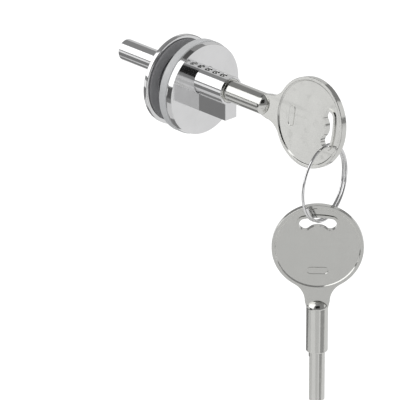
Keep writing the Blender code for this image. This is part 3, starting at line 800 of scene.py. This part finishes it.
class LOCK_OT_core(bpy.types.Operator):
    """Turn the core with its head, add the square tail, bore it and drill its chambers"""

    bl_idname = "glass_lock.core"
    bl_label = "Core"

    def execute(self, context):
        sizes = context.scene.lock_sizes
        keys = context.scene.key_sizes
        front = BARREL_LOW.y
        back = BARREL_HIGH.y
        head = front + sizes.core_head
        profile = [(0.0, back), (sizes.core_radius, back), (sizes.core_radius, head),
                   (sizes.core_head_radius, head), (sizes.core_head_radius, front), (0.0, front)]
        profile = rounded(profile, [0.1 * MM, 0, 0, 0.1 * MM], 3)
        core = lathe("plug_core_turned", profile, CORE_ROUND)
        place(core, CORE_LINE)
        tail = slab("tail", square(sizes.tail_square), back - 0.3 * MM, back + sizes.tail_length)
        soften(tail, 0.1 * MM, 2)
        combine(core, place(tail, CORE_LINE), "UNION")
        bottom = SHOULDER + keys.shank_length + FREE_GAP
        drill(core, rod_profile(keys.shank_radius + SEAM, front - OVERSHOOT, bottom),
              CORE_LINE, BORE_ROUND)
        depth = -sizes.core_head_radius - OVERSHOOT
        for y in chamber_places(sizes):
            drill(core, rod_profile(sizes.chamber_radius, depth, 0.0), across_core(y))
        drill(core, rod_profile(PIN_HIGH.x + SEAM, -sizes.tail_square, sizes.tail_square),
              PIN_LINE)
        finish(core, "core_nickel", "plug_core")
        return {"FINISHED"}


class LOCK_OT_cam(bpy.types.Operator):
    """Shape the cam with its square hole"""

    bl_idname = "glass_lock.cam"
    bl_label = "Cam"

    def execute(self, context):
        sizes = context.scene.lock_sizes
        centre = sizes.cam_reach - sizes.cam_tip
        lean = asin((sizes.cam_hub - sizes.cam_tip) / centre)
        outline = arc(sizes.cam_tip, lean, pi - lean, 32, (0.0, centre))
        outline += arc(sizes.cam_hub, pi - lean, 2 * pi + lean, 64)
        cam = slab("locking_cam_shaped", outline, CAM_LOW.y, CAM_HIGH.y)
        hole = slab("hole", square(sizes.tail_square + 2 * SEAM), CAM_LOW.y - OVERSHOOT,
                    CAM_HIGH.y + OVERSHOOT)
        combine(cam, hole)
        soften(cam, 0.12 * MM, 2)
        place(cam, CORE_LINE)
        finish(cam, "plain_steel", "locking_cam")
        return {"FINISHED"}


class LOCK_OT_rod(bpy.types.Operator):
    """Turn the rod with its chamfered end, cut its socket and turn the pin through it"""

    bl_idname = "glass_lock.rod"
    bl_label = "Rod and pin"

    def execute(self, context):
        sizes = context.scene.lock_sizes
        radius = ROD_HIGH.x
        end = ROD_HIGH.y
        front = ROD_LOW.y
        chamfer = sizes.rod_chamfer
        profile = [(0.0, end), (radius - chamfer, end), (radius, end - chamfer), (radius, front),
                   (0.0, front)]
        rod = lathe("plunger_rod_turned", rounded(profile, [0.15 * MM, 0.25 * MM, 0.05 * MM]))
        place(rod, CORE_LINE)
        bottom = BARREL_HIGH.y + sizes.tail_length + FREE_GAP
        socket = slab("socket", square(sizes.tail_square + 2 * SEAM), front - OVERSHOOT, bottom)
        combine(rod, place(socket, CORE_LINE))
        drill(rod, rod_profile(PIN_HIGH.x + SEAM, -2 * radius, 2 * radius), PIN_LINE)
        finish(rod, "core_chrome", "plunger_rod")
        reach = PIN_HIGH.z - CORE_HEIGHT
        pin = lathe("rod_pin_turned", rounded(rod_profile(PIN_HIGH.x, -reach, reach),
                                              [0.15 * MM, 0.15 * MM]), SMALL_ROUND)
        place(pin, PIN_LINE)
        finish(pin, "plain_steel", "rod_pin")
        return {"FINISHED"}


class LOCK_OT_inner_parts(bpy.types.Operator):
    """Clad the pins and springs inside the barrel, which keep their frame shapes"""

    bl_idname = "glass_lock.inner_parts"
    bl_label = "Pins and springs"

    def execute(self, context):
        finishes = {"driver_pin": "plain_steel", "chamber_spring": "plain_steel",
                    "key_pin": "turned_brass"}
        for name, item in frame["nodes"].items():
            kind = name.rpartition("_")[0]
            if kind in finishes:
                clad(item, finishes[kind])
        return {"FINISHED"}


# Keys and ring

def collar_start(keys):
    """From the bow's centre to where the dome begins."""
    return keys.bow_radius + keys.neck_reach - keys.collar_overlap


def slot_outline(keys, spread, steps=24):
    """Kidney-shaped slot concentric with the bow, waisted in its middle."""
    mean = keys.bow_radius - keys.slot_inset
    span = asin(keys.slot_span / mean)

    def edge(side):
        points = []
        for i in range(steps + 1):
            way = -1 + 2 * i / steps
            half = keys.slot_waist + (keys.slot_lobe - keys.slot_waist) * way * way + spread
            turn = -pi / 2 + way * span
            points.append(((mean + side * half) * cos(turn), (mean + side * half) * sin(turn)))
        return points

    def lobe(side):
        turn = -pi / 2 + side * span
        centre = (mean * cos(turn), mean * sin(turn))
        start = turn if side > 0 else turn - pi
        return arc(keys.slot_lobe + spread, start, start + pi, 20, centre)[1:-1]

    return edge(1) + lobe(1) + list(reversed(edge(-1))) + lobe(-1)


def bow_outline(keys):
    """Round bow that narrows in two hollow curves to the neck; local +Y points to the tip."""
    neck = keys.bow_radius + keys.neck_reach
    half = keys.neck_half
    fillet = (neck ** 2 - keys.bow_radius ** 2 + half ** 2) / (2 * (keys.bow_radius - half))
    x = half + fillet
    meet = acos(x / hypot(x, neck))
    end = collar_start(keys) + keys.collar_dome + OVERSHOOT
    right = [(keys.collar_radius - 0.3 * MM, end)] + arc(fillet, pi, pi + meet, 28, (x, neck))
    bow = arc(keys.bow_radius, meet, -pi - meet, ROUND)[1:-1]
    return right + bow + [(-px, py) for px, py in reversed(right)]


def recess_tool(keys):
    """The bow's hollow as a solid, with a sloped wall and a lip left round the slot."""
    half = keys.bow_thickness / 2
    floor = half - keys.recess
    radius = keys.bow_radius - keys.bow_rim
    slope = keys.edge
    profile = [(0.0, half + OVERSHOOT), (radius + 2 * slope, half + OVERSHOOT),
               (radius + 2 * slope, half), (radius + slope, half - 0.4 * slope),
               (radius - slope, floor), (0.0, floor)]
    tool = lathe("recess", rounded(profile, [0, 0, 0.1 * MM, 0.1 * MM], 3))
    island = slab("island", slot_outline(keys, keys.slot_lip), floor - OVERSHOOT,
                  half + 2 * OVERSHOOT)
    return combine(tool, island)


def key_blank(keys):
    """Bow with rim, recesses, slot and raised field, domed collar and shank, in its own frame."""
    half = keys.bow_thickness / 2
    key = slab("key_blank", bow_outline(keys), -half, half)
    soften(key, keys.edge, 3, CORNER_LIMIT)
    for turn in (0.0, pi):
        combine(key, place(recess_tool(keys), Matrix.Rotation(turn, 4, "Y")))
    combine(key, slab("slot", slot_outline(keys, 0.0), -half - OVERSHOOT, half + OVERSHOOT))
    ends = keys.field_half - keys.field_round
    outline = arc(keys.field_round, -pi / 2, pi / 2, 12, (ends, keys.field_place))
    outline += arc(keys.field_round, pi / 2, 3 * pi / 2, 12, (-ends, keys.field_place))
    for turn in (pi, 0.0):
        field = slab("field", outline, half - 2 * keys.recess, half - 0.3 * keys.recess, 0.15 * MM)
        combine(key, place(field, Matrix.Rotation(turn, 4, "Y")), "UNION")
    start = collar_start(keys)
    end = start + keys.collar_length
    tip = end + keys.shank_length
    radius = keys.collar_radius
    shank = keys.shank_radius
    chamfer = keys.shank_chamfer
    outer = [(0.0, tip), (shank - chamfer, tip), (shank, tip - chamfer), (shank, end),
             (radius, end), (radius, start + keys.collar_dome)]
    profile = rounded(outer, [0.1 * MM, 0.1 * MM, 0, 0.3 * MM], 4)
    steps = 14
    for i in range(1, steps + 1):
        turn = pi / 2 * i / steps
        profile.append((radius * cos(turn) if i < steps else 0.0,
                        start + keys.collar_dome * (1 - sin(turn))))
    shaft = lathe("shaft", profile, BORE_ROUND)
    return combine(key, place(shaft, DOWN), "UNION")


def key_frame(across, along, centre):
    """Frame of a key: local X across the bow, local Y to the tip."""
    turn = Matrix((across, along, across.cross(along))).transposed().to_4x4()
    return Matrix.Translation(centre) @ turn


class LOCK_OT_keys(bpy.types.Operator):
    """Shape one key blank, copy it, cut each channel and place both keys"""

    bl_idname = "glass_lock.keys"
    bl_label = "Keys"

    def execute(self, context):
        keys = context.scene.key_sizes
        sizes = context.scene.lock_sizes
        blank = key_blank(keys)
        turn = keys.bow_turn
        working = key_frame(Vector((sin(turn), 0, cos(turn))), Vector((0, 1, 0)),
                            Vector((0, KEY_LOW.y + keys.bow_radius, CORE_HEIGHT)))
        aside = keys.spare_turn
        hanging = key_frame(Vector((cos(aside), sin(aside), 0)), Vector((0, 0, -1)),
                            Vector((SPARE_HANG.x, SPARE_HANG.y, SPARE_HIGH.z - keys.bow_radius)))
        end = collar_start(keys) + keys.collar_length
        half = sizes.chamber_radius
        outline = rectangle(half, end + sizes.chamber_first - half - FREE_GAP,
                            end + keys.shank_length + OVERSHOOT)
        for node, matrix, channel_turn in (("working_key", working, pi / 2 - turn),
                                           ("spare_key", hanging, pi / 2)):
            key = copied(blank, f"{node}_cut")
            channel = slab("channel", outline, -keys.shank_radius - OVERSHOOT,
                           -keys.shank_radius + keys.channel)
            combine(key, place(channel, Matrix.Rotation(channel_turn, 4, "Y")))
            place(key, matrix)
            finish(key, "key_nickel", node)
        bpy.data.objects.remove(blank)
        return {"FINISHED"}


class LOCK_OT_split_ring(bpy.types.Operator):
    """Wind the split ring from a round wire and close its two ends"""

    bl_idname = "glass_lock.split_ring"
    bl_label = "Split ring"

    def execute(self, context):
        keys = context.scene.key_sizes
        rise = keys.ring_pitch * keys.ring_sweep / (2 * pi)
        bpy.ops.object.select_all(action="DESELECT")
        bpy.ops.mesh.primitive_circle_add(vertices=24, radius=keys.ring_wire / 2,
                                          location=(keys.ring_radius, 0, rise / 2),
                                          rotation=(pi / 2, 0, 0))
        ring = named("key_ring_wound")
        settle()
        bpy.ops.object.modifier_add(type="SCREW")
        screw = ring.modifiers[-1]
        screw.angle = keys.ring_sweep
        screw.screw_offset = -rise
        screw.steps = screw.render_steps = RING_STEPS
        screw.use_merge_vertices = False
        apply_last(ring)
        bpy.ops.object.mode_set(mode="EDIT")
        bpy.ops.mesh.select_all(action="DESELECT")
        bpy.ops.mesh.select_mode(type="VERT")
        bpy.ops.mesh.select_non_manifold()
        bpy.ops.mesh.edge_face_add()
        close_mesh()
        soften(ring, 0.1 * MM, 2, CORNER_LIMIT)
        drop = sqrt(keys.ring_radius ** 2 - keys.ring_shift ** 2)
        centre = RING_HANG - keys.ring_shift * ACROSS + Vector((0, 0, -drop))
        upright = key_frame(ACROSS, Vector((0, 0, 1)), centre)
        place(ring, upright @ Matrix.Rotation(keys.ring_start, 4, "Z"))
        finish(ring, "ring_steel", "key_ring")
        return {"FINISHED"}


# Stage

def floor_material(tint):
    """Pale floor that keeps shadows and reads as white to the camera and in metal."""
    material, tree, shader = new_material("pale_floor")
    shader.inputs["Base Color"].default_value = (*tint, 1.0)
    shader.inputs["Roughness"].default_value = 0.9
    shader.inputs["Specular IOR Level"].default_value = 0.0
    shader.inputs["Emission Color"].default_value = (1, 1, 1, 1)
    path = add_node(tree, "ShaderNodeLightPath").outputs
    seen = maths(tree, "MULTIPLY", path["Is Camera Ray"], 0.6)
    lift = maths(tree, "MULTIPLY_ADD", path["Is Glossy Ray"], 0.2, seen)
    tree.links.new(lift, shader.inputs["Emission Strength"])
    return material


def aim(item, location, target, axis):
    direction = Vector(target) - Vector(location)
    item.rotation_euler = direction.to_track_quat(axis, "Y").to_euler()


def reflection_card(name, location, target, width, height, tint):
    """A glowing card that only shiny surfaces see, a painted bright or dark reflection, turned to face a target.
    """
    item = plane(name, 1.0, location)
    item.scale = (width, height, 1.0)
    aim(item, location, target, "Z")
    material, tree, shader = new_material(name)
    tree.nodes.remove(shader)
    glow = add_node(tree, "ShaderNodeEmission", {"Color": (tint, tint, tint, 1.0)})
    tree.links.new(glow.outputs[0], tree.nodes["Material Output"].inputs["Surface"])
    item.data.materials.append(material)
    item.visible_camera = False
    item.visible_diffuse = False
    item.visible_shadow = False
    item.visible_transmission = False


def lamp(name, location, size, power):
    """A soft lamp aimed at the lock, which shiny surfaces don't see."""
    data = bpy.data.lights.new(name, "AREA")
    data.shape = "RECTANGLE"
    data.size, data.size_y = size
    data.energy = power
    item = bpy.data.objects.new(name, data)
    bpy.context.scene.collection.objects.link(item)
    item.location = location
    aim(item, location, (0, 0, 0), "-Z")
    item.visible_glossy = False


def camera_at(azimuth, elevation, distance, shift_right, shift_up, lens):
    """Camera on a sphere round the origin, moved aside without turning."""
    back = Vector((sin(azimuth) * cos(elevation), -cos(azimuth) * cos(elevation), sin(elevation)))
    right = Vector((cos(azimuth), sin(azimuth), 0))
    up = back.cross(right)
    data = bpy.data.cameras.new("camera")
    data.lens = lens
    data.sensor_width = 36.0
    data.clip_start = 0.01
    data.clip_end = 20.0
    item = bpy.data.objects.new("camera", data)
    bpy.context.scene.collection.objects.link(item)
    turn = Matrix((right, up, back)).transposed().to_4x4()
    item.matrix_world = Matrix.Translation(back * distance + right * shift_right
                                           + up * shift_up) @ turn
    bpy.context.scene.camera = item


class LOCK_OT_stage(bpy.types.Operator):
    """Set the floor, the world, the soft lamps, the cards that paint reflections and the camera"""

    bl_idname = "glass_lock.stage"
    bl_label = "Stage"

    def execute(self, context):
        scene = context.scene
        scene.view_settings.view_transform = "Standard"
        floor = plane("floor", 12.0, (0, 0, -0.25))
        floor.data.materials.append(floor_material(scene.lock_finishes.floor))
        world = bpy.data.worlds.new("studio")
        world.use_nodes = True
        scene.world = world
        tree = world.node_tree
        back = tree.nodes["Background"]
        back.inputs["Color"].default_value = (1, 1, 1, 1)
        path = add_node(tree, "ShaderNodeLightPath").outputs
        # Painted reflection: the world lights the scene at 0.6 but shows only 0.27 in shiny surfaces; the camera
        # sees it white.
        lit = add_node(tree, "ShaderNodeMapRange", {
            "Value": path["Is Glossy Ray"], "To Min": 0.6, "To Max": 0.27})
        level = add_node(tree, "ShaderNodeMix", {
            "Factor": path["Is Camera Ray"], "A": lit.outputs["Result"], "B": 1.0})
        tree.links.new(level.outputs["Result"], back.inputs["Strength"])
        lamp("rear_softbox", (-0.9, 0.9, 1.0), (0.9, 0.8), 3.6)
        lamp("front_softbox", (0.6, -1.3, 1.1), (1.0, 1.0), 4.0)
        # Painted reflections: bright and dark glowing cards, seen only in shiny surfaces, stand in for a softbox,
        # fill boards and dark surroundings.
        reflection_card("softbox_reflection", (-0.766, 0.85, 0.643), (0, 0.85, 0), 2.0, 1.25, 1.5)
        reflection_card("side_fill_reflection", (1.0, 1.0, 0.25), (0, 1.0, 0.25), 1.2, 1.0, 0.62)
        reflection_card("side_front", (1.0, -0.9, 0.45), (0, -0.9, 0.45), 0.9, 0.5, 0.8)
        reflection_card("low_fill_reflection", (-0.75, 0.85, -0.14), (0, 0.85, -0.14), 0.66, 0.22, 0.93)
        reflection_card("dark_left", (-0.7, 0.25, -0.08), (0, 0.25, -0.08), 0.5, 0.34, 0.1)
        reflection_card("camera_side", (-0.42, -0.55, 0.52), (0, 0, 0.02), 0.7, 0.6, 0.02)
        reflection_card("dark_above", (0.05, 0.45, 1.0), (0.05, 0.45, 0), 0.5, 0.5, 0.09)
        reflection_card("under_rear", (-0.3, 0.43, -0.245), (-0.3, 0.43, 1.0), 0.8, 0.6, 0.22)
        reflection_card("under_front", (-0.32, -0.38, -0.245), (-0.32, -0.38, 1.0), 0.3, 0.3, 0.62)
        reflection_card("under_left", (-0.25, 0.19, -0.244), (-0.25, 0.19, 1.0), 0.34, 0.2, 0.65)
        reflection_card("front_right", (0.1, -0.55, -0.245), (0.1, -0.55, 1.0), 0.35, 0.35, 0.35)
        camera_at(azimuth=radians(-43.98), elevation=radians(23.63), distance=1.717,
                  shift_right=0.00195, shift_up=-0.03526, lens=505.1)
        return {"FINISHED"}


class LOCK_PT_panel(bpy.types.Panel):
    """Lists the steps that build the lock"""

    bl_label = "Sliding glass lock"
    bl_idname = "LOCK_PT_panel"
    bl_space_type = "VIEW_3D"
    bl_region_type = "UI"
    bl_category = "Lock"

    def draw(self, context):
        for step in STEPS:
            self.layout.operator(step.bl_idname)
        for group_name, kind in GROUPS.items():
            column = self.layout.column(align=True)
            for name in kind.__annotations__:
                column.prop(getattr(context.scene, group_name), name)


STEPS = (LOCK_OT_front_rose, LOCK_OT_washers, LOCK_OT_rear_rose, LOCK_OT_clamp_screws,
         LOCK_OT_barrel, LOCK_OT_spring_cover, LOCK_OT_core, LOCK_OT_cam, LOCK_OT_rod,
         LOCK_OT_inner_parts, LOCK_OT_keys, LOCK_OT_split_ring, LOCK_OT_stage)
GROUPS = {"lock_sizes": LockSizes, "key_sizes": KeySizes, "lock_finishes": LockFinishes}
CLASSES = (*GROUPS.values(), *STEPS, LOCK_PT_panel)


def register():
    for item in CLASSES:
        bpy.utils.register_class(item)
    for name, kind in GROUPS.items():
        setattr(bpy.types.Scene, name, PointerProperty(type=kind))


def unregister():
    for name in GROUPS:
        delattr(bpy.types.Scene, name)
    for item in reversed(CLASSES):
        bpy.utils.unregister_class(item)


def main():
    """Build the pieces in order."""
    register()
    for step in STEPS:
        getattr(bpy.ops.glass_lock, step.bl_idname.split(".")[1])()


if __name__ == "__main__":
    main()
